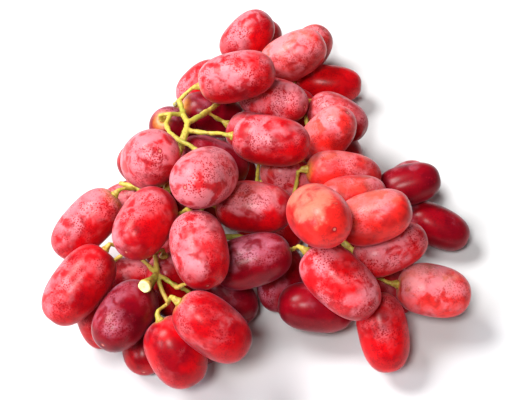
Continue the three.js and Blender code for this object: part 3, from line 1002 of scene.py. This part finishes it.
def set_sky(scene, strength):
    world = bpy.data.worlds.new("Soft sky")
    world.use_nodes = True
    sky = world.node_tree.nodes["Background"]
    sky.inputs["Color"].default_value = rgba(WHITE)
    sky.inputs["Strength"].default_value = strength
    scene.world = world


def hang_lamp(name, watts, width, place, shade):
    """Hangs a round, soft lamp that shines at the middle of the bunch."""
    deselect_all()
    bpy.ops.object.light_add(type="AREA", location=place)
    lamp = bpy.context.active_object
    lamp.name = name
    lamp.data.shape = "DISK"
    lamp.data.size = width
    lamp.data.energy = watts
    lamp.data.color = shade
    lamp.rotation_euler = (AIM - Vector(place)).to_track_quat("-Z", "Y").to_euler()


def aim_camera(scene):
    """Sets the camera at the picture's angle, upright and looking at the aim."""
    to_eye = Vector((0, -math.cos(SIGHT_ELEVATION), math.sin(SIGHT_ELEVATION)))
    bpy.ops.object.camera_add(location=AIM + SIGHT_DISTANCE * to_eye)
    camera = bpy.context.active_object
    camera.name = "picture_camera"
    camera.rotation_euler = (math.pi / 2 - SIGHT_ELEVATION, 0, 0)
    camera.data.sensor_width = SENSOR
    camera.data.lens = LENS
    camera.data.clip_start = NEAREST_SEEN
    scene.camera = camera


# Operators


class BUNCH_OT_berries(bpy.types.Operator):
    """Grow a ripe skin over each berry's solid"""

    bl_idname = "bunch.berries"
    bl_label = "Berries"

    def execute(self, context):
        settings = context.scene.bunch_berries
        finish = context.scene.bunch_finish
        if not BERRIES:
            raise RuntimeError("the frame has no berries")
        group = make_skin_group(finish)
        skins = {
            "skin_ruby": make_skin("Ruby skin", group, finish.ruby, finish.bloom, finish),
            "skin_coral": make_skin("Coral skin", group, finish.coral, finish.bloom, finish),
            "skin_wine": make_skin("Wine skin", group, finish.wine, finish.wine_bloom, finish),
        }
        plain = make_plain_berry(settings)
        for name in BERRIES:
            berry = make_berry(name, plain, settings)
            berry.data.materials.append(skins[SLOTS[name]])
            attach(berry, "root")
            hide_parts(name)
        bpy.data.objects.remove(plain)
        return {"FINISHED"}


class BUNCH_OT_stalk(bpy.types.Operator):
    """Grow the green stalk with a disc under each berry"""

    bl_idname = "bunch.stalk"
    bl_label = "Stalk"

    def execute(self, context):
        stalk = make_stalk(context.scene.bunch_stalk, context.scene.bunch_berries.dimple)
        if not stalk.data.polygons:
            raise RuntimeError("the stalk has no faces")
        stalk.data.materials.clear()
        stalk.data.materials.append(make_bark(context.scene.bunch_finish))
        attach(stalk, "root")
        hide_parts(STALK)
        return {"FINISHED"}


class BUNCH_OT_stage(bpy.types.Operator):
    """Lay the floor and set the soft lights and the camera"""

    bl_idname = "bunch.stage"
    bl_label = "Stage"

    def execute(self, context):
        settings = context.scene.bunch_stage
        lay_floor(settings)
        set_sky(context.scene, settings.sky)
        for name, (setting, width, place, shade) in LAMPS.items():
            hang_lamp(name, getattr(settings, setting), width, place, shade)
        context.scene.view_settings.view_transform = "Standard"
        context.scene.view_settings.look = "None"
        aim_camera(context.scene)
        return {"FINISHED"}


class BUNCH_PT_panel(bpy.types.Panel):
    """Lists the steps that make the bunch"""

    bl_idname = "BUNCH_PT_panel"
    bl_label = "Bunch of grapes"
    bl_space_type = "VIEW_3D"
    bl_region_type = "UI"
    bl_category = "Grapes"

    def draw(self, context):
        for operator in OPERATORS:
            self.layout.operator(operator.bl_idname)


OPERATORS = (BUNCH_OT_berries, BUNCH_OT_stalk, BUNCH_OT_stage)
SETTINGS = {
    "bunch_berries": BerrySettings,
    "bunch_stalk": StalkSettings,
    "bunch_finish": FinishSettings,
    "bunch_stage": StageSettings,
}


def register():
    for group in SETTINGS.values():
        bpy.utils.register_class(group)
    for name, group in SETTINGS.items():
        setattr(bpy.types.Scene, name, bpy.props.PointerProperty(type=group))
    for operator in OPERATORS:
        bpy.utils.register_class(operator)
    bpy.utils.register_class(BUNCH_PT_panel)


def unregister():
    bpy.utils.unregister_class(BUNCH_PT_panel)
    for operator in reversed(OPERATORS):
        bpy.utils.unregister_class(operator)
    for name, group in SETTINGS.items():
        delattr(bpy.types.Scene, name)
        bpy.utils.unregister_class(group)


def main():
    register()
    bpy.ops.bunch.berries()
    bpy.ops.bunch.stalk()
    bpy.ops.bunch.stage()


if __name__ == "__main__":
    main()
